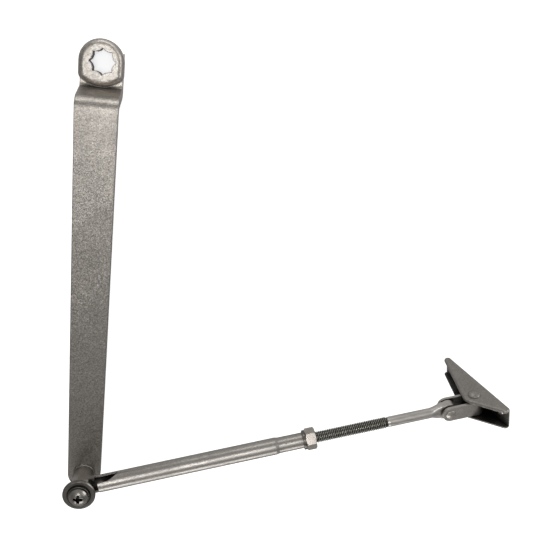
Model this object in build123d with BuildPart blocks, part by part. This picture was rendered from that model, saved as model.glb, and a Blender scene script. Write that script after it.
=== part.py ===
from build123d import *
import os
import math

os.makedirs("parts", exist_ok=True)

# ---------------------------------------------------------------- dimensions
# Frame: origin on the spindle socket axis at the eye's underside, +Z up the
# spindle axis, the main arm runs along -Y to the elbow.

# main arm
eye_r = 13.8
eye_h = 11.0
eye_round = 3.6
eye_side = 9.6                # length of the straight sides below the spindle axis
eye_low = 15.0                # lowest reach of the rounded lower end
eye_shift = -0.9            # eye outline sits a little to -X of the socket axis
socket_hole_r = 6.75
socket_square = 11.6        # side of each of the two squares of the socket
web_h = 7.0                 # web below the eye's rounding, start of the riser
blade_top = 30.0
blade_t = 5.0
arm_len = 275.0             # spindle axis to elbow axis
blade_w0 = 26.2             # blade width next to the eye
blade_w1 = 21.8             # blade width at the elbow
blade_shift = -0.5

# elbow stack (heights above the eye's underside)
stud_r = 4.5
stud_shank_r = 3.6
stud_foot_r = 5.6
stud_foot_h = 2.0
thrust_r = 7.3
thrust_t = 1.0
barrel_r = 6.6
barrel_bore_r = 5.45
barrel_z0 = 31.25
barrel_z1 = 52.2
stud_top = 54.0
collar_r = 10.7
collar_t = 2.2
lockw_r = 6.9
lockw_t = 1.5
screw_r = 2.95
screw_head_r = 6.1
screw_head_h = 4.2
screw_len = 13.0

# forearm
fore_deg = 15.54            # direction of the forearm from +X
fore_z = 46.8               # height of the tube axis
tube_r = 5.8
tube_bore_r = 4.25
neck_r = 5.35
neck_bore_r = 4.05
neck_s0 = 133.5
tube_end = 152.6
roof_s = 12.4               # the tube's roof starts here, past the barrel

# jam nut and washer
nutw_t = 1.6
nutw_r = 6.6
nut_s0 = 154.35
nut_t = 7.0
nut_af = 13.0
nut_turn = 27.0             # which way one flat faces, degrees from up

# adjusting rod
rod_s0 = 118.0
thread_pitch = 1.25
thread_end = 212.4
thread_minor_r = 3.28
thread_major_r = 3.95
shank_r = 3.55
flare_s0 = 243.5
flare_s1 = 251.0
tongue_t = 5.6
tongue_w = 11.5
knuckle_s = 255.6           # knuckle rivet axis
shoe_s = 274.6              # shoe rivet axis
rod_roll = -78.0            # the rod's turn in the tube's thread

# knuckle
strap_t = 1.8
strap_w = 11.0
strap_in = 4.3              # half the strap's inner gap
krivet_r = 2.5
krivet_head_r = 3.3
krivet_head_h = 1.1
kwash_r = 4.6
kwash_t = 1.2

# shoe
shoe_w = 16.2
shoe_t = 2.0
shoe_back = 11.4            # rivet axis to the base's outer face
shoe_tip = 45.5
shoe_cor = 25.2
shoe_apex_r = 7.9
shoe_turn = -75.5
srivet_r = 3.0
srivet_head_r = 4.2
srivet_head_h = 2.1
sleeve_r = 4.2
sleeve_bore_r = 3.1
swash_t = 0.4
base_hole_r = 2.6
base_hole_tip = -33.0
base_hole_cor = 16.5

# ---------------------------------------------------------------- directions
fa = math.radians(fore_deg)
U = Vector(math.cos(fa), math.sin(fa), 0)
V = Vector(-math.sin(fa), math.cos(fa), 0)
Z = Vector(0, 0, 1)
E = Vector(0, -arm_len, fore_z)
rr = math.radians(rod_roll)
NV = V * math.cos(rr) + Z * math.sin(rr)
ZP = V * -math.sin(rr) + Z * math.cos(rr)      # shoe rivet axis
WP = NV * -1                                   # knuckle rivet axis
bt = math.radians(shoe_turn)
T = U * math.cos(bt) + NV * math.sin(bt)       # along the shoe's base
N = U * -math.sin(bt) + NV * math.cos(bt)      # out of the shoe's base
PK = E + U * knuckle_s
PS = E + U * shoe_s


def across(s):
    return Plane(origin=E + U * s, x_dir=V, z_dir=U)


def dome_mid(r, z0, h):
    # point on the ball-shaped cap that rises h over a rim of radius r at z0
    rs = (r * r + h * h) / (2 * h)
    half = math.asin(r / rs) / 2
    return (rs * math.sin(half), z0 + h - rs + rs * math.cos(half))


# ---------------------------------------------------------------- main arm
with BuildPart() as main_arm:
    with BuildSketch(Plane.YZ):
        with BuildLine():
            Polyline(
                (6, 0), (6, web_h), (-15.2, web_h), (-21.6, blade_top),
                (-arm_len - 14, blade_top), (-arm_len - 14, blade_top - blade_t),
                (-27.0, blade_top - blade_t), (-20.4, 0), close=True)
        make_face()
    extrude(amount=16, both=True)
    top_bend = main_arm.edges().filter_by(Axis.X).sort_by_distance((0, -21.6, blade_top))[0]
    low_bend = main_arm.edges().filter_by(Axis.X).sort_by_distance((0, -27.0, blade_top - blade_t))[0]
    crease = main_arm.edges().filter_by(Axis.X).sort_by_distance((0, -15.2, web_h))[0]
    heel = main_arm.edges().filter_by(Axis.X).sort_by_distance((0, -20.4, 0))[0]
    fillet(top_bend, 8.0)
    fillet(low_bend, 3.0)
    fillet(crease, 2.6)
    fillet(heel, 5.0)
    with BuildSketch(Plane.XY):
        with BuildLine():
            Polyline(
                (blade_shift - blade_w0 / 2, 6), (blade_shift + blade_w0 / 2, 6),
                (blade_shift + blade_w0 / 2, -24), (blade_w1 / 2, -arm_len),
                (-blade_w1 / 2, -arm_len), (blade_shift - blade_w0 / 2, -24), close=True)
        make_face()
        with Locations((0, -arm_len)):
            Circle(blade_w1 / 2)
    extrude(amount=60, mode=Mode.INTERSECT)
    # eye with its rounded rim, straight sided towards the riser
    with BuildSketch(Plane.XY):
        with BuildLine():
            e1 = Line((eye_shift + eye_r, -eye_side), (eye_shift + eye_r, 0))
            e2 = ThreePointArc(e1 @ 1, (eye_shift, eye_r), (eye_shift - eye_r, 0))
            e3 = Line(e2 @ 1, (eye_shift - eye_r, -eye_side))
            ThreePointArc(e3 @ 1, (eye_shift, -eye_low), e1 @ 0)
        eye_face = make_face()
        fillet(eye_face.vertices().filter_by(lambda p: p.Y < -1), 4.0)
    extrude(amount=eye_h)
    rim = main_arm.faces().filter_by(Plane.XY).sort_by(Axis.Z).filter_by(lambda f: abs(f.center().Z - eye_h) < 0.01)[0]
    fillet(rim.outer_wire().edges(), eye_round)
    # eight-point socket
    with BuildSketch(Plane.XY.offset(-1)):
        Circle(socket_hole_r)
        for a in (0, 45):
            r = Rectangle(socket_square, socket_square, rotation=a)
    extrude(amount=eye_h + 2, mode=Mode.SUBTRACT)
    # stud seat
    with BuildSketch(Plane.XY.offset(blade_top - blade_t - 1)):
        with Locations((0, -arm_len)):
            Circle(stud_shank_r)
    extrude(amount=blade_t + 2, mode=Mode.SUBTRACT)

# ---------------------------------------------------------------- elbow stud
with BuildPart() as elbow_stud:
    with BuildSketch(Plane.XZ.offset(arm_len)):
        with BuildLine():
            Polyline(
                (0, blade_top - blade_t - stud_foot_h), (stud_foot_r - 1.2, blade_top - blade_t - stud_foot_h),
                (stud_foot_r, blade_top - blade_t - 0.8), (stud_foot_r, blade_top - blade_t),
                (stud_shank_r, blade_top - blade_t), (stud_shank_r, blade_top),
                (stud_r, blade_top), (stud_r, stud_top - 0.4), (stud_r - 0.4, stud_top), (0, stud_top), close=True)
        make_face()
    revolve(axis=Axis((0, -arm_len, 0), (0, 0, 1)))
    with BuildSketch(Plane.XY.offset(stud_top + 1)):
        with Locations((0, -arm_len)):
            Circle(screw_r + 0.05)
    extrude(amount=-(screw_len + 2.0), mode=Mode.SUBTRACT)

with BuildPart() as elbow_thrust_washer:
    with BuildSketch(Plane.XY.offset(blade_top)):
        with Locations((0, -arm_len)):
            Circle(thrust_r)
            Circle(stud_r + 0.05, mode=Mode.SUBTRACT)
    extrude(amount=thrust_t)
    chamfer(elbow_thrust_washer.edges().group_by(Axis.Z)[-1].sort_by(SortBy.RADIUS)[-1], 0.3)

# ---------------------------------------------------------------- forearm tube
with BuildPart() as forearm_tube:
    with BuildSketch(Plane.XY.offset(barrel_z0)):
        with Locations((0, -arm_len)):
            Circle(barrel_r)
    extrude(amount=barrel_z1 - barrel_z0)
    with BuildSketch(across(0)):
        Circle(tube_r)
    extrude(amount=neck_s0)
    with BuildSketch(across(neck_s0)):
        Circle(tube_r)
    with BuildSketch(across(neck_s0 + 2.2)):
        Circle(neck_r)
    loft()
    with BuildSketch(across(neck_s0 + 2.2)):
        Circle(neck_r)
    extrude(amount=tube_end - neck_s0 - 2.2)
    # bore, opened for the thread's free end, closer round the thread at the neck
    with BuildSketch(across(7.6)):
        Circle(tube_bore_r)
    extrude(amount=neck_s0 - 7.6 - 1.0, mode=Mode.SUBTRACT)
    with BuildSketch(across(neck_s0 - 2.0)):
        Circle(neck_bore_r)
    extrude(amount=tube_end - neck_s0 + 3, mode=Mode.SUBTRACT)
    # roof cut away next to the barrel
    with BuildSketch(Plane(origin=E + U * 0 + Z * 1.2, x_dir=U, z_dir=Z)):
        with Locations(((roof_s + barrel_r) / 2, 0)):
            Rectangle(roof_s - barrel_r, 2 * tube_r + 2)
    extrude(amount=tube_r + 2, mode=Mode.SUBTRACT)
    with BuildSketch(Plane.XY.offset(barrel_z1)):
        with Locations((0, -arm_len)):
            Circle(9.6)
    extrude(amount=4, mode=Mode.SUBTRACT)
    # leaf-shaped opening on the upper side facing the main arm
    leaf = Plane(origin=E, x_dir=U, z_dir=(V * 0.5 + Z * 0.866))
    with BuildSketch(leaf):
        with BuildLine():
            b1 = Polyline((roof_s - 2.0, 0.2), (17.5, 0.5))
            b2 = Spline(b1 @ 1, (22.0, 1.9), (26.6, 4.9), tangents=((1, 0.06), (1, 0.75)))
            b3 = Spline(b2 @ 1, (22.0, 5.25), (roof_s - 2.0, 5.2), tangents=((-1, 0.1), (-1, 0)))
            Line(b3 @ 1, b1 @ 0)
        make_face()
    extrude(amount=tube_r + 2, mode=Mode.SUBTRACT)
    # bore of the barrel
    with BuildSketch(Plane.XY.offset(barrel_z0 - 1)):
        with Locations((0, -arm_len)):
            Circle(barrel_bore_r)
    extrude(amount=barrel_z1 - barrel_z0 + 2, mode=Mode.SUBTRACT)

with BuildPart() as elbow_bush_lower:
    with BuildSketch(Plane.XY.offset(barrel_z0)):
        with Locations((0, -arm_len)):
            Circle(barrel_bore_r)
            Circle(stud_r + 0.08, mode=Mode.SUBTRACT)
    extrude(amount=9.5)

with BuildPart() as elbow_bush_upper:
    with BuildSketch(Plane.XY.offset(barrel_z1 - 9.5)):
        with Locations((0, -arm_len)):
            Circle(barrel_bore_r)
    extrude(amount=9.5)
    with BuildSketch(Plane.XY.offset(barrel_z1)):
        with Locations((0, -arm_len)):
            Circle(8.6)
    extrude(amount=1.5)
    with BuildSketch(Plane.XY.offset(barrel_z1 - 10)):
        with Locations((0, -arm_len)):
            Circle(stud_r + 0.08)
    extrude(amount=13, mode=Mode.SUBTRACT)

# ---------------------------------------------------------------- elbow collar, washer, screw
cz = stud_top
with BuildPart() as elbow_collar:
    with BuildSketch(Plane.XZ.offset(arm_len)):
        with BuildLine():
            Polyline((screw_r + 0.15, cz), (collar_r - 0.5, cz), (collar_r, cz + 0.5), (collar_r, cz + collar_t - 0.7),
                     (collar_r - 0.7, cz + collar_t), (lockw_r + 1.0, cz + collar_t),
                     (lockw_r + 0.4, cz + collar_t - 0.4), (screw_r + 0.15, cz + collar_t - 0.4), close=True)
        make_face()
    revolve(axis=Axis((0, -arm_len, 0), (0, 0, 1)))

lz = cz + collar_t - 0.4
with BuildPart() as elbow_lock_washer:
    with BuildSketch(Plane.XY.offset(lz)):
        with Locations((0, -arm_len)):
            Circle(lockw_r)
            Circle(screw_r + 0.2, mode=Mode.SUBTRACT)
        with Locations((5.0, -arm_len)):
            Rectangle(6, 0.9, rotation=0, mode=Mode.SUBTRACT)
    extrude(amount=lockw_t)

sz = lz + lockw_t
with BuildPart() as elbow_screw:
    with BuildSketch(Plane.XZ.offset(arm_len)):
        with BuildLine():
            Line((0, sz), (screw_head_r, sz))
            Line((screw_head_r, sz), (screw_head_r, sz + 1.3))
            ThreePointArc((screw_head_r, sz + 1.3), dome_mid(screw_head_r, sz + 1.3, screw_head_h - 1.3), (0, sz + screw_head_h))
            Line((0, sz + screw_head_h), (0, sz))
        make_face()
    revolve(axis=Axis((0, -arm_len, 0), (0, 0, 1)))
    with BuildSketch(Plane.XY.offset(sz)):
        with Locations((0, -arm_len)):
            Circle(screw_r)
    extrude(amount=-screw_len)
    # cross recess
    with BuildSketch(Plane.XY.offset(sz + screw_head_h + 0.2)):
        with Locations((0, -arm_len)):
            Rectangle(6.6, 2.2)
            Rectangle(2.2, 6.6)
            Rectangle(3.4, 3.4, rotation=45)
    extrude(amount=-3.2, taper=9, mode=Mode.SUBTRACT)

# ---------------------------------------------------------------- jam nut and its washer
with BuildPart() as nut_lock_washer:
    with BuildSketch(across(tube_end)):
        Circle(nutw_r)
        Circle(thread_major_r + 0.1, mode=Mode.SUBTRACT)
    extrude(amount=nutw_t)

nut_x = V * math.cos(math.radians(nut_turn)) - Z * math.sin(math.radians(nut_turn))
with BuildPart() as jam_nut:
    with BuildSketch(Plane(origin=E + U * nut_s0, x_dir=nut_x, z_dir=U)):
        RegularPolygon(radius=nut_af / 2, side_count=6, major_radius=False, rotation=0)
    extrude(amount=nut_t)
    with BuildSketch(Plane(origin=E + U * nut_s0, x_dir=U, z_dir=V)):
        with BuildLine():
            Polyline((-0.1, 0), (-0.1, 6.35), (1.0, 7.9), (nut_t - 1.0, 7.9), (nut_t + 0.1, 6.35), (nut_t + 0.1, 0), close=True)
        make_face()
    revolve(axis=Axis(tuple(E), tuple(U)), mode=Mode.INTERSECT)
    with BuildSketch(across(nut_s0 - 1)):
        Circle(thread_major_r + 0.1)
    extrude(amount=nut_t + 2, mode=Mode.SUBTRACT)

# ---------------------------------------------------------------- adjusting rod
with BuildPart() as adjusting_rod:
    with BuildSketch(across(rod_s0)):
        Circle(thread_minor_r)
    extrude(amount=thread_end - rod_s0)
    with BuildLine():
        hx = Helix(pitch=thread_pitch, height=thread_end - rod_s0 - 3.0, radius=thread_minor_r - 0.08,
                   center=tuple(E + U * (rod_s0 + 1.6)), direction=tuple(U))
    h0 = hx @ 0
    out = (h0 - (E + U * (rod_s0 + 1.6))).normalized()
    with BuildSketch(Plane(origin=h0, x_dir=out, z_dir=hx % 0)):
        with BuildLine():
            Polyline((0, -0.52), (0, 0.52), (thread_major_r - thread_minor_r + 0.08, 0.10),
                     (thread_major_r - thread_minor_r + 0.08, -0.10), close=True)
        make_face()
    sweep(path=hx, is_frenet=True)
    with BuildSketch(across(thread_end)):
        Circle(thread_minor_r)
    with BuildSketch(across(thread_end + 1.2)):
        Circle(shank_r)
    loft()
    with BuildSketch(across(thread_end + 1.2)):
        Circle(shank_r)
    extrude(amount=flare_s0 - thread_end - 1.2)
    # shank flattened into the tongue
    with BuildSketch(Plane(origin=E + U * flare_s0, x_dir=ZP, z_dir=U)):
        Circle(shank_r)
    with BuildSketch(Plane(origin=E + U * flare_s1, x_dir=ZP, z_dir=U)):
        RectangleRounded(tongue_w, tongue_t, 1.4)
    loft()
    with BuildSketch(Plane(origin=E + U * flare_s1, x_dir=ZP, z_dir=U)):
        RectangleRounded(tongue_w, tongue_t, 1.4)
    extrude(amount=knuckle_s - flare_s1)
    with BuildSketch(Plane(origin=PK, x_dir=U, z_dir=WP)):
        Circle(tongue_w / 2)
    extrude(amount=tongue_t / 2, both=True)
    with BuildSketch(Plane(origin=PK, x_dir=U, z_dir=WP)):
        Circle(krivet_r + 0.06)
    extrude(amount=tongue_t, both=True, mode=Mode.SUBTRACT)

# ---------------------------------------------------------------- knuckle
strap_out = strap_in + strap_t
reach = shoe_s - knuckle_s
with BuildPart() as knuckle_strap:
    with BuildSketch(Plane(origin=PS, x_dir=U, z_dir=ZP)):
        Circle(strap_out)
        with Locations((-(reach + strap_w) / 2, 0)):
            Rectangle(reach + strap_w, 2 * strap_out)
        Circle(strap_in, mode=Mode.SUBTRACT)
        with Locations((-(reach + strap_w + 2) / 2, 0)):
            Rectangle(reach + strap_w + 2, 2 * strap_in, mode=Mode.SUBTRACT)
    extrude(amount=strap_w / 2, both=True)
    with BuildSketch(Plane(origin=PK, x_dir=U, z_dir=WP)):
        Circle(strap_w / 2)
        with Locations((20, 0)):
            Rectangle(40, strap_w)
    extrude(amount=strap_out + 1, both=True, mode=Mode.INTERSECT)
    with BuildSketch(Plane(origin=PK, x_dir=U, z_dir=WP)):
        Circle(krivet_r + 0.02)
    extrude(amount=strap_out + 1, both=True, mode=Mode.SUBTRACT)

with BuildPart() as knuckle_rivet_blank:
    with BuildSketch(Plane.XZ):
        with BuildLine():
            k1 = Polyline((0, -strap_out - krivet_head_h * 0.7), (krivet_head_r - 0.5, -strap_out - krivet_head_h * 0.7),
                          (krivet_head_r, -strap_out - 0.3), (krivet_head_r, -strap_out), (krivet_r, -strap_out),
                          (krivet_r, strap_out), (krivet_head_r, strap_out), (krivet_head_r, strap_out + 0.25))
            ThreePointArc(k1 @ 1, dome_mid(krivet_head_r, strap_out + 0.25, krivet_head_h - 0.25), (0, strap_out + krivet_head_h))
            Line((0, strap_out + krivet_head_h), k1 @ 0)
        make_face()
    revolve(axis=Axis.Z)

with BuildPart() as knuckle_rivet:
    with Locations(Plane(origin=PK, x_dir=U, z_dir=WP).location):
        add(knuckle_rivet_blank.part)

with BuildPart() as knuckle_washer_upper:
    with BuildSketch(Plane(origin=PK + WP * (strap_in - kwash_t), x_dir=U, z_dir=WP)):
        Circle(kwash_r)
        Circle(krivet_r + 0.02, mode=Mode.SUBTRACT)
    extrude(amount=kwash_t)

with BuildPart() as knuckle_washer_lower:
    with BuildSketch(Plane(origin=PK - WP * strap_in, x_dir=U, z_dir=WP)):
        Circle(kwash_r)
        Circle(krivet_r + 0.02, mode=Mode.SUBTRACT)
    extrude(amount=kwash_t)

with BuildPart() as shoe_rivet_sleeve:
    with BuildSketch(Plane(origin=PS - ZP * (strap_w / 2), x_dir=U, z_dir=ZP)):
        Circle(sleeve_r)
        Circle(sleeve_bore_r, mode=Mode.SUBTRACT)
    extrude(amount=strap_w)

# ---------------------------------------------------------------- frame shoe
side = Plane(origin=PS, x_dir=T, z_dir=ZP)
with BuildPart() as shoe_bracket:
    with BuildSketch(side):
        Circle(shoe_apex_r)
        with Locations((-shoe_tip + 2.6, shoe_back - 2.6)):
            Circle(2.6)
        with Locations((shoe_cor - 3.0, shoe_back - 3.0)):
            Circle(3.0)
        make_hull()
    extrude(amount=shoe_w / 2, both=True)
    long_edges = [e for e in shoe_bracket.edges() if e.geom_type == GeomType.LINE
                  and abs((e % 0.5).dot(T)) > 0.999
                  and abs(((e @ 0.5) - PS).dot(N) - shoe_back) < 0.01]
    fillet(long_edges, 1.8)
    with BuildSketch(side):
        with Locations((0, shoe_back - shoe_t - 30)):
            Rectangle(140, 60)
    extrude(amount=shoe_w / 2 - shoe_t, both=True, mode=Mode.SUBTRACT)
    with BuildSketch(side):
        Circle(srivet_r + 0.02)
    extrude(amount=shoe_w, both=True, mode=Mode.SUBTRACT)
    for b in (base_hole_tip, base_hole_cor):
        with BuildSketch(Plane(origin=PS + T * b, x_dir=T, z_dir=N)):
            Circle(base_hole_r)
        extrude(amount=shoe_back + 2, mode=Mode.SUBTRACT)

with BuildPart() as shoe_rivet_blank:
    w2 = shoe_w / 2
    with BuildSketch(Plane.XZ):
        with BuildLine():
            q1 = Polyline((0, -w2 - 1.3), (srivet_head_r - 1.0, -w2 - 1.3), (srivet_head_r - 0.2, -w2 - 0.5),
                          (srivet_head_r - 0.2, -w2), (srivet_r, -w2), (srivet_r, w2), (srivet_head_r, w2),
                          (srivet_head_r, w2 + 0.35))
            ThreePointArc(q1 @ 1, dome_mid(srivet_head_r, w2 + 0.35, srivet_head_h - 0.35), (0, w2 + srivet_head_h))
            Line((0, w2 + srivet_head_h), q1 @ 0)
        make_face()
    revolve(axis=Axis.Z)

with BuildPart() as shoe_rivet:
    with Locations(Plane(origin=PS, x_dir=T, z_dir=ZP).location):
        add(shoe_rivet_blank.part)

with BuildPart() as shoe_washer_near:
    with BuildSketch(Plane(origin=PS + ZP * (shoe_w / 2 - shoe_t), x_dir=U, z_dir=ZP)):
        Circle(5.6)
        Circle(srivet_r + 0.02, mode=Mode.SUBTRACT)
    extrude(amount=-swash_t)

with BuildPart() as shoe_washer_far:
    with BuildSketch(Plane(origin=PS - ZP * (shoe_w / 2 - shoe_t), x_dir=U, z_dir=ZP)):
        Circle(5.6)
        Circle(srivet_r + 0.02, mode=Mode.SUBTRACT)
    extrude(amount=swash_t)

# ---------------------------------------------------------------- export
main_arm.part.label = "main_arm"
export_step(main_arm.part, "parts/main_arm.step")
elbow_stud.part.label = "elbow_stud"
export_step(elbow_stud.part, "parts/elbow_stud.step")
elbow_thrust_washer.part.label = "elbow_thrust_washer"
export_step(elbow_thrust_washer.part, "parts/elbow_thrust_washer.step")
forearm_tube.part.label = "forearm_tube"
export_step(forearm_tube.part, "parts/forearm_tube.step")
elbow_bush_lower.part.label = "elbow_bush_lower"
export_step(elbow_bush_lower.part, "parts/elbow_bush_lower.step")
elbow_bush_upper.part.label = "elbow_bush_upper"
export_step(elbow_bush_upper.part, "parts/elbow_bush_upper.step")
elbow_collar.part.label = "elbow_collar"
export_step(elbow_collar.part, "parts/elbow_collar.step")
elbow_lock_washer.part.label = "elbow_lock_washer"
export_step(elbow_lock_washer.part, "parts/elbow_lock_washer.step")
elbow_screw.part.label = "elbow_screw"
export_step(elbow_screw.part, "parts/elbow_screw.step")
nut_lock_washer.part.label = "nut_lock_washer"
export_step(nut_lock_washer.part, "parts/nut_lock_washer.step")
jam_nut.part.label = "jam_nut"
export_step(jam_nut.part, "parts/jam_nut.step")
adjusting_rod.part.label = "adjusting_rod"
export_step(adjusting_rod.part, "parts/adjusting_rod.step")
knuckle_strap.part.label = "knuckle_strap"
export_step(knuckle_strap.part, "parts/knuckle_strap.step")
knuckle_rivet.part.label = "knuckle_rivet"
export_step(knuckle_rivet.part, "parts/knuckle_rivet.step")
knuckle_washer_upper.part.label = "knuckle_washer_upper"
export_step(knuckle_washer_upper.part, "parts/knuckle_washer_upper.step")
knuckle_washer_lower.part.label = "knuckle_washer_lower"
export_step(knuckle_washer_lower.part, "parts/knuckle_washer_lower.step")
shoe_rivet_sleeve.part.label = "shoe_rivet_sleeve"
export_step(shoe_rivet_sleeve.part, "parts/shoe_rivet_sleeve.step")
shoe_bracket.part.label = "shoe_bracket"
export_step(shoe_bracket.part, "parts/shoe_bracket.step")
shoe_rivet.part.label = "shoe_rivet"
export_step(shoe_rivet.part, "parts/shoe_rivet.step")
shoe_washer_near.part.label = "shoe_washer_near"
export_step(shoe_washer_near.part, "parts/shoe_washer_near.step")
shoe_washer_far.part.label = "shoe_washer_far"
export_step(shoe_washer_far.part, "parts/shoe_washer_far.step")
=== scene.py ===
import math

import bpy
from mathutils import Matrix, Vector


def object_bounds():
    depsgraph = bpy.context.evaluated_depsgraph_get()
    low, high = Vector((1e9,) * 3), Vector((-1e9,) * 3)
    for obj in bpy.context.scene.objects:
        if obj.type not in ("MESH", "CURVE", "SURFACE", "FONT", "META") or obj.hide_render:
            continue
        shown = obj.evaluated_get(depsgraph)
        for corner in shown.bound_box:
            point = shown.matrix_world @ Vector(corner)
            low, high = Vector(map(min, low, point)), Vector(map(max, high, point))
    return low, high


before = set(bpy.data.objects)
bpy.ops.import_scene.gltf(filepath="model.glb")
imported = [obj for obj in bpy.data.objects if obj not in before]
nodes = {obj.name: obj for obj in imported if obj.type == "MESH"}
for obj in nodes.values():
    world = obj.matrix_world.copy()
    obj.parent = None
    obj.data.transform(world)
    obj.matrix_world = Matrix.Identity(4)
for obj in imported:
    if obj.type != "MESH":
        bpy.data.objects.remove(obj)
cad_box = [list(p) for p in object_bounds()]

# ------------------------------------------------------------ reference lines
fa = math.radians(15.54)
U = Vector((math.cos(fa), math.sin(fa), 0.0))
ELBOW = Vector((0.0, -0.275, 0.0468))


# ------------------------------------------------------------ node helpers
class Mat:
    def __init__(self, name):
        self.m = bpy.data.materials.new(name)
        self.m.use_nodes = True
        self.t = self.m.node_tree
        self.bsdf = self.t.nodes["Principled BSDF"]
        self.tc = self.n("ShaderNodeTexCoord").outputs["Object"]

    def n(self, kind, **sockets):
        node = self.t.nodes.new(kind)
        for k, v in sockets.items():
            if hasattr(node, k):
                setattr(node, k, v)
            else:
                self.set(node, k, v)
        return node

    def set(self, node, key, value):
        sock = node.inputs[int(key[1:])] if key[0] == "i" and key[1:].isdigit() else node.inputs[key]
        if hasattr(value, "is_output"):
            self.t.links.new(value, sock)
        else:
            sock.default_value = value

    def math(self, op, a, b=0.0, clamp=False):
        node = self.t.nodes.new("ShaderNodeMath")
        node.operation = op
        node.use_clamp = clamp
        self.set(node, "i0", a)
        self.set(node, "i1", b)
        return node.outputs[0]

    def vmath(self, op, a, b=None, scale=None):
        node = self.t.nodes.new("ShaderNodeVectorMath")
        node.operation = op
        self.set(node, "i0", a)
        if b is not None:
            self.set(node, "i1", b)
        if scale is not None:
            self.set(node, "Scale", scale)
        return node.outputs["Value"] if op in ("DOT_PRODUCT", "LENGTH", "DISTANCE") else node.outputs["Vector"]

    def ramp(self, value, a, b, to0=0.0, to1=1.0):
        node = self.t.nodes.new("ShaderNodeMapRange")
        node.clamp = True
        for k, v in zip(("Value", "From Min", "From Max", "To Min", "To Max"), (value, a, b, to0, to1)):
            self.set(node, k, v)
        return node.outputs["Result"]

    def noise(self, scale, detail=3.0, rough=0.5, vector=None):
        node = self.t.nodes.new("ShaderNodeTexNoise")
        self.set(node, "Vector", vector or self.tc)
        self.set(node, "Scale", scale)
        self.set(node, "Detail", detail)
        self.set(node, "Roughness", rough)
        return node.outputs["Fac"]

    def cells(self, scale, vector=None):
        node = self.t.nodes.new("ShaderNodeTexVoronoi")
        self.set(node, "Vector", vector or self.tc)
        self.set(node, "Scale", scale)
        return node.outputs["Color"]

    def mix(self, fac, a, b):
        node = self.t.nodes.new("ShaderNodeMix")
        node.data_type = "RGBA"
        ins = [s for s in node.inputs if s.enabled and s.type == "RGBA"]
        f = [s for s in node.inputs if s.enabled and s.type == "VALUE"][0]
        for s, v in ((f, fac), (ins[0], a), (ins[1], b)):
            if hasattr(v, "is_output"):
                self.t.links.new(v, s)
            else:
                s.default_value = v
        return [o for o in node.outputs if o.enabled][0]

    # Painted shade: darkens the colour in hollows, creases and recesses from an ambient occlusion mask.
    def painted_ao_shade(self, distance, lo, hi, floor):
        node = self.t.nodes.new("ShaderNodeAmbientOcclusion")
        node.samples = 8
        node.inputs["Distance"].default_value = distance
        return self.ramp(node.outputs["AO"], lo, hi, floor, 1.0)

    def grey(self, value):
        node = self.t.nodes.new("ShaderNodeCombineColor")
        for k in ("Red", "Green", "Blue"):
            self.set(node, k, value)
        return node.outputs["Color"]

    def scale_colour(self, colour, value):
        return self.vmath("MULTIPLY", colour, self.grey(value))

    def edge(self, radius, lo=0.80, hi=0.985):
        geo = self.t.nodes.new("ShaderNodeNewGeometry")
        bev = self.t.nodes.new("ShaderNodeBevel")
        bev.samples = 6
        self.set(bev, "Radius", radius)
        self.bev = bev.outputs["Normal"]
        d = self.vmath("DOT_PRODUCT", self.bev, geo.outputs["Normal"])
        return self.ramp(d, lo, hi, 1.0, 0.0)


def rgb(r, g, b):
    return (r, g, b, 1.0)


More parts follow.
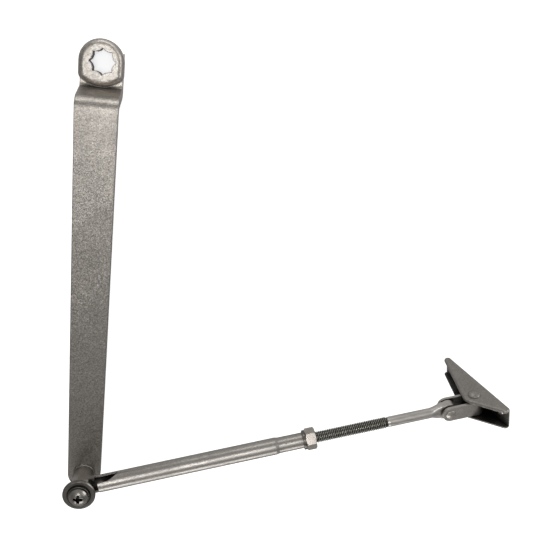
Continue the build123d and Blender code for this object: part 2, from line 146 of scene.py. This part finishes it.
def metal(name, base, dark, rough=0.36, metallic=0.9, bevel=0.0005, flake=0.0, flake_scale=2600.0,
          blotch=90.0, grain=0.05, bump=0.012, bump_scale=900.0, edge_gain=1.35, coat=0.0, streak=None,
          tilt=0.10, extra=None, ao_shade=(0.012, 0.25, 0.85, 0.30), fine_bump=1.0):
    """Metal with cloudy tone, fine grain or flakes, brushed streaks if asked, lighter rubbed edges, and painted shade
    from an AO mask that darkens hollows and crevices.
    """
    m = Mat(name)
    b = m.bsdf
    cloud = m.noise(blotch, 4.0, 0.55)
    col = m.mix(m.ramp(cloud, 0.32, 0.68), rgb(*dark), rgb(*base))
    vec = m.tc
    if streak is not None:
        mp = m.t.nodes.new("ShaderNodeMapping")
        m.set(mp, "Vector", m.tc)
        mp.inputs["Rotation"].default_value = streak[0]
        mp.inputs["Scale"].default_value = streak[1]
        vec = mp.outputs["Vector"]
    fine = m.noise(bump_scale, 5.0, 0.6, vec)
    tone = m.ramp(fine, 0.25, 0.75, 1.0 - grain, 1.0 + grain)
    flakes = m.cells(flake_scale)
    sep = m.t.nodes.new("ShaderNodeSeparateColor")
    m.set(sep, "Color", flakes)
    if flake:
        tone = m.math("MULTIPLY", tone, m.ramp(sep.outputs["Red"], 0.0, 1.0, 1.0 - flake, 1.0 + flake))
    edge = m.edge(bevel)
    worn = m.math("MULTIPLY", edge, m.ramp(m.noise(260.0, 4.0, 0.6), 0.35, 0.60, 0.35, 1.0))
    tone = m.math("MULTIPLY", tone, m.ramp(worn, 0.0, 1.0, 1.0, edge_gain))
    col = m.scale_colour(col, tone)
    if extra:
        col = extra(m, col)
    # Painted shade: the AO mask darkens hollows and crevices.
    col = m.scale_colour(col, m.painted_ao_shade(*ao_shade))
    m.set(b, "Base Color", col)
    r = m.math("ADD", m.ramp(cloud, 0.3, 0.7, rough + 0.05, rough - 0.03), m.ramp(fine, 0.3, 0.7, -0.03, 0.04))
    if hasattr(m, "rough_add"):
        r = m.math("ADD", r, m.rough_add)
    m.set(b, "Roughness", m.math("MAXIMUM", r, 0.12))
    b.inputs["Metallic"].default_value = metallic
    if coat:
        b.inputs["Coat Weight"].default_value = coat
        b.inputs["Coat Roughness"].default_value = 0.22
    normal = m.bev
    if flake:
        off = m.vmath("SCALE", m.vmath("SUBTRACT", flakes, (0.5, 0.5, 0.5)), scale=tilt)
        normal = m.vmath("NORMALIZE", m.vmath("ADD", m.bev, off))
    bp = m.t.nodes.new("ShaderNodeBump")
    m.set(bp, "Height", m.math("ADD", m.math("MULTIPLY", fine, fine_bump), m.math("MULTIPLY", cloud, 0.4)))
    m.set(bp, "Strength", 0.35)
    m.set(bp, "Distance", bump / 1000.0)
    m.set(bp, "Normal", normal)
    m.set(b, "Normal", bp.outputs["Normal"])
    return m.m


def put(mat, *names):
    for n in names:
        o = nodes[n]
        if not o.data.materials:
            o.data.materials.append(mat)
        for i in range(len(o.material_slots)):
            o.material_slots[i].material = mat


# ------------------------------------------------------------ materials
def eye_tone(m, col):
    """Painted shade on the dark spindle socket walls, painted light that lightens the eye end and riser towards +Y,
    and a slightly worn flat ring round it.
    """
    x = m.t.nodes.new("ShaderNodeSeparateXYZ")
    m.set(x, "Vector", m.tc)
    r = m.vmath("LENGTH", m.vmath("MULTIPLY", m.tc, (1.0, 1.0, 0.0)))
    # Painted light: the eye end and riser of the arm are lightened towards +Y, in place of the light on the bend.
    col = m.scale_colour(col, m.ramp(x.outputs["Y"], -0.034, -0.019, 1.0, 1.65))
    # Painted shade: the spindle socket walls below the ring are coloured near black.
    socket_wall_shade = m.math("MULTIPLY", m.ramp(r, 0.00830, 0.00850, 1.0, 0.0), m.ramp(x.outputs["Z"], 0.0106, 0.0109, 1.0, 0.0))
    col = m.mix(socket_wall_shade, col, rgb(0.018, 0.017, 0.016))
    ring = m.math("MULTIPLY", m.ramp(r, 0.0096, 0.0102, 1.0, 0.0), m.ramp(x.outputs["Z"], 0.0107, 0.01095))
    rub = m.math("MULTIPLY", ring, m.ramp(m.noise(700.0, 5.0, 0.65), 0.42, 0.62))
    col = m.mix(m.math("MULTIPLY", rub, 0.7), col, rgb(0.50, 0.48, 0.445))
    return col


arm_paint = metal("arm_paint", (0.268, 0.248, 0.225), (0.236, 0.218, 0.197), rough=0.37, metallic=0.95,
                  bevel=0.0009, flake=0.20, flake_scale=1750.0, tilt=0.17, blotch=45.0, grain=0.10,
                  bump=0.004, edge_gain=1.10, coat=0.06, extra=eye_tone, ao_shade=(0.006, 0.1, 0.6, 0.45))
tube_paint = metal("tube_paint", (0.42, 0.395, 0.365), (0.365, 0.343, 0.317), rough=0.36, metallic=1.0,
                   bevel=0.0002, flake=0.14, flake_scale=1900.0, tilt=0.07, blotch=50.0, bump=0.001,
                   edge_gain=1.2, coat=0.06, fine_bump=0.4)
# The AO shade argument here paints near-black shade inside the shoe channel.
shoe_paint = metal("shoe_steel", (0.335, 0.312, 0.288), (0.295, 0.275, 0.254), rough=0.42, metallic=0.95,
                   bevel=0.0004, flake=0.16, flake_scale=1800.0, tilt=0.14, bump=0.004, edge_gain=1.35,
                   ao_shade=(0.020, 0.30, 0.80, 0.08))
strap_paint = metal("strap_steel", (0.50, 0.467, 0.43), (0.42, 0.392, 0.36), rough=0.36, metallic=0.95,
                    bevel=0.0004, flake=0.14, flake_scale=1800.0, tilt=0.12, bump=0.004, edge_gain=1.5,
                    ao_shade=(0.012, 0.30, 0.85, 0.10))
zinc = metal("zinc_steel", (0.55, 0.53, 0.50), (0.46, 0.44, 0.41), rough=0.30, metallic=1.0,
             bevel=0.0004, blotch=160.0, grain=0.10, bump=0.006, bump_scale=1500.0, edge_gain=1.25)
screw_steel = metal("screw_steel", (0.33, 0.310, 0.284), (0.25, 0.234, 0.214), rough=0.30, metallic=1.0,
                    bevel=0.0004, blotch=260.0, grain=0.12, bump=0.010, bump_scale=1500.0, edge_gain=1.9,
                    ao_shade=(0.003, 0.55, 0.95, 0.05))
dark_steel = metal("dark_steel", (0.20, 0.188, 0.170), (0.145, 0.135, 0.122), rough=0.32, metallic=1.0,
                   bevel=0.0005, blotch=160.0, grain=0.14, bump=0.012, bump_scale=1500.0, edge_gain=2.3,
                   ao_shade=(0.006, 0.3, 0.9, 0.25))
nut_steel = metal("nut_steel", (0.50, 0.46, 0.42), (0.38, 0.35, 0.32), rough=0.27, metallic=1.0,
                  bevel=0.0004, blotch=220.0, grain=0.10, bump=0.008, bump_scale=1400.0, edge_gain=1.7)


def rod_tone(m, col):
    """Thread with painted shade in its roots and a painted highlight on its crests, satin plain shank and tongue,
    split by the distance along the rod.
    """
    s = m.vmath("DOT_PRODUCT", m.vmath("SUBTRACT", m.tc, tuple(ELBOW)), tuple(U))
    shank = m.ramp(s, 0.2118, 0.2128)
    m.rough_add = m.ramp(shank, 0.0, 1.0, -0.02, 0.06)
    rel = m.vmath("SUBTRACT", m.tc, tuple(ELBOW))
    out = m.vmath("LENGTH", m.vmath("SUBTRACT", rel, m.vmath("SCALE", tuple(U), scale=s)))
    # Painted highlight on the thread crests and painted shade in the thread roots.
    crest_highlight = m.ramp(out, 0.00325, 0.00375)
    thread = m.mix(crest_highlight, rgb(0.045, 0.044, 0.037), rgb(0.50, 0.49, 0.435))
    thread = m.scale_colour(thread, m.ramp(m.noise(700.0, 3.0), 0.3, 0.7, 0.8, 1.2))
    return m.mix(shank, thread, col)


rod_steel = metal("rod_steel", (0.58, 0.55, 0.515), (0.50, 0.475, 0.445), rough=0.30, metallic=1.0,
                  bevel=0.00015, blotch=120.0, grain=0.12, bump=0.006, bump_scale=700.0, ao_shade=(0.006, 0.2, 0.8, 0.3), edge_gain=1.3,
                  streak=((0.0, 0.0, -fa), (0.08, 1.0, 1.0)), extra=rod_tone)

# Near-black bush: partly a black nylon part, partly painted shade for the shadowed gap under the elbow collar.
bush = Mat("bush_plastic")
bush_edge = bush.edge(0.0003)
bush.set(bush.bsdf, "Base Color", bush.mix(bush.ramp(bush.noise(400.0), 0.3, 0.7), rgb(0.012, 0.012, 0.013), rgb(0.028, 0.027, 0.026)))
bush.set(bush.bsdf, "Roughness", bush.ramp(bush.noise(900.0), 0.3, 0.7, 0.45, 0.6))
bush.set(bush.bsdf, "Normal", bush.bev)
bush = bush.m

put(arm_paint, "main_arm")
put(tube_paint, "forearm_tube")
put(shoe_paint, "shoe_bracket", "shoe_rivet")
put(strap_paint, "knuckle_strap", "knuckle_rivet")
put(arm_paint, "elbow_thrust_washer")
put(zinc, "elbow_stud", "knuckle_washer_upper",
    "knuckle_washer_lower", "shoe_rivet_sleeve", "shoe_washer_near", "shoe_washer_far")
put(screw_steel, "elbow_screw")
put(dark_steel, "elbow_collar", "elbow_lock_washer", "nut_lock_washer")
put(nut_steel, "jam_nut")
put(rod_steel, "adjusting_rod")
put(bush, "elbow_bush_lower", "elbow_bush_upper")

# ------------------------------------------------------------ floor
floor_mesh = bpy.data.meshes.new("floor")
s = 6.0
floor_z = cad_box[0][2] - 0.0004
floor_mesh.from_pydata([(-s, -s, floor_z), (s, -s, floor_z), (s, s, floor_z), (-s, s, floor_z)], [], [(0, 1, 2, 3)])
floor = bpy.data.objects.new("floor", floor_mesh)
bpy.context.scene.collection.objects.link(floor)
fm = Mat("floor_white")
fm.bsdf.inputs["Base Color"].default_value = rgb(0.90, 0.90, 0.90)
fm.bsdf.inputs["Roughness"].default_value = 0.9
fm.bsdf.inputs["Specular IOR Level"].default_value = 0.1
fm.bsdf.inputs["Emission Color"].default_value = rgb(1, 1, 1)
fm.bsdf.inputs["Emission Strength"].default_value = 0.65
floor.visible_glossy = False
below = fm.t.nodes.new("ShaderNodeNewGeometry")
clear = fm.t.nodes.new("ShaderNodeBsdfTransparent")
choose = fm.t.nodes.new("ShaderNodeMixShader")
fm.t.links.new(below.outputs["Backfacing"], choose.inputs[0])
fm.t.links.new(fm.bsdf.outputs[0], choose.inputs[1])
fm.t.links.new(clear.outputs[0], choose.inputs[2])
fm.t.links.new(choose.outputs[0], fm.t.nodes["Material Output"].inputs["Surface"])
floor_mesh.materials.append(fm.m)


# ------------------------------------------------------------ light
def area(name, at, aim, size, power, colour=(1, 1, 1)):
    light = bpy.data.lights.new(name, "AREA")
    light.shape = "RECTANGLE"
    light.size, light.size_y = size
    light.energy = power
    light.color = colour
    o = bpy.data.objects.new(name, light)
    bpy.context.scene.collection.objects.link(o)
    o.location = at
    o.visible_camera = False
    o.rotation_mode = "QUATERNION"
    o.rotation_quaternion = (Vector(aim) - Vector(at)).to_track_quat("-Z", "Y")
    return o


area("overhead", (-0.10, -0.03, 1.10), (0.05, -0.12, 0.0), (0.55, 0.22), 2.6)
area("back", (0.02, 0.20, 0.085), (0.0, -0.025, 0.028), (0.22, 0.09), 0.17)
area("right", (1.30, 0.35, 0.75), (0.1, -0.12, 0.0), (0.9, 0.6), 7.0)
area("front", (0.10, -1.45, 0.60), (0.1, -0.2, 0.0), (1.2, 0.5), 6.0)

world = bpy.data.worlds.new("studio")
bpy.context.scene.world = world
world.use_nodes = True
wt = world.node_tree
bg = wt.nodes["Background"]
tc = wt.nodes.new("ShaderNodeTexCoord")
sx = wt.nodes.new("ShaderNodeSeparateXYZ")
wt.links.new(tc.outputs["Generated"], sx.inputs[0])
ramp = wt.nodes.new("ShaderNodeValToRGB")
wt.links.new(sx.outputs["Z"], ramp.inputs[0])
ramp.color_ramp.elements[0].position = 0.0
ramp.color_ramp.elements[0].color = (0.34, 0.34, 0.34, 1)
ramp.color_ramp.elements[1].position = 1.0
ramp.color_ramp.elements[1].color = (0.50, 0.50, 0.50, 1)
mid = ramp.color_ramp.elements.new(0.40)
mid.color = (0.22, 0.22, 0.22, 1)
high = ramp.color_ramp.elements.new(0.80)
high.color = (0.22, 0.22, 0.22, 1)
side = wt.nodes.new("ShaderNodeMapRange")
side.clamp = True
wt.links.new(sx.outputs["Y"], side.inputs["Value"])
for key, value in (("From Min", 0.10), ("From Max", 0.60), ("To Min", 0.0), ("To Max", 0.20)):
    side.inputs[key].default_value = value
both = wt.nodes.new("ShaderNodeVectorMath")
wt.links.new(ramp.outputs[0], both.inputs[0])
wt.links.new(side.outputs["Result"], both.inputs[1])
wt.links.new(both.outputs["Vector"], bg.inputs["Color"])
plain = wt.nodes.new("ShaderNodeBackground")
plain.inputs["Color"].default_value = (0.93, 0.93, 0.93, 1)
seen = wt.nodes.new("ShaderNodeLightPath")
pick = wt.nodes.new("ShaderNodeMixShader")
wt.links.new(seen.outputs["Is Camera Ray"], pick.inputs[0])
wt.links.new(bg.outputs[0], pick.inputs[1])
wt.links.new(plain.outputs[0], pick.inputs[2])
wt.links.new(pick.outputs[0], wt.nodes["World Output"].inputs["Surface"])
bg.inputs["Strength"].default_value = 1.0

# ------------------------------------------------------------ camera
cam = bpy.data.cameras.new("camera")
cam.sensor_width = 36.0
cam.lens = 46.46
cam.clip_start, cam.clip_end = 0.01, 20.0
camera = bpy.data.objects.new("camera", cam)
bpy.context.scene.collection.objects.link(camera)
rot = (Matrix.Rotation(math.radians(-8.6384), 3, "Y") @ Matrix.Rotation(math.radians(-15.6615), 3, "X")
       @ Matrix.Rotation(math.radians(6.1746), 3, "Z"))
camera.matrix_world = Matrix.Translation((0.0504, 0.0033, 0.4753)) @ rot.to_4x4()
bpy.context.scene.camera = camera
bpy.context.scene.view_settings.view_transform = "Standard"
bpy.context.scene.view_settings.look = "None"
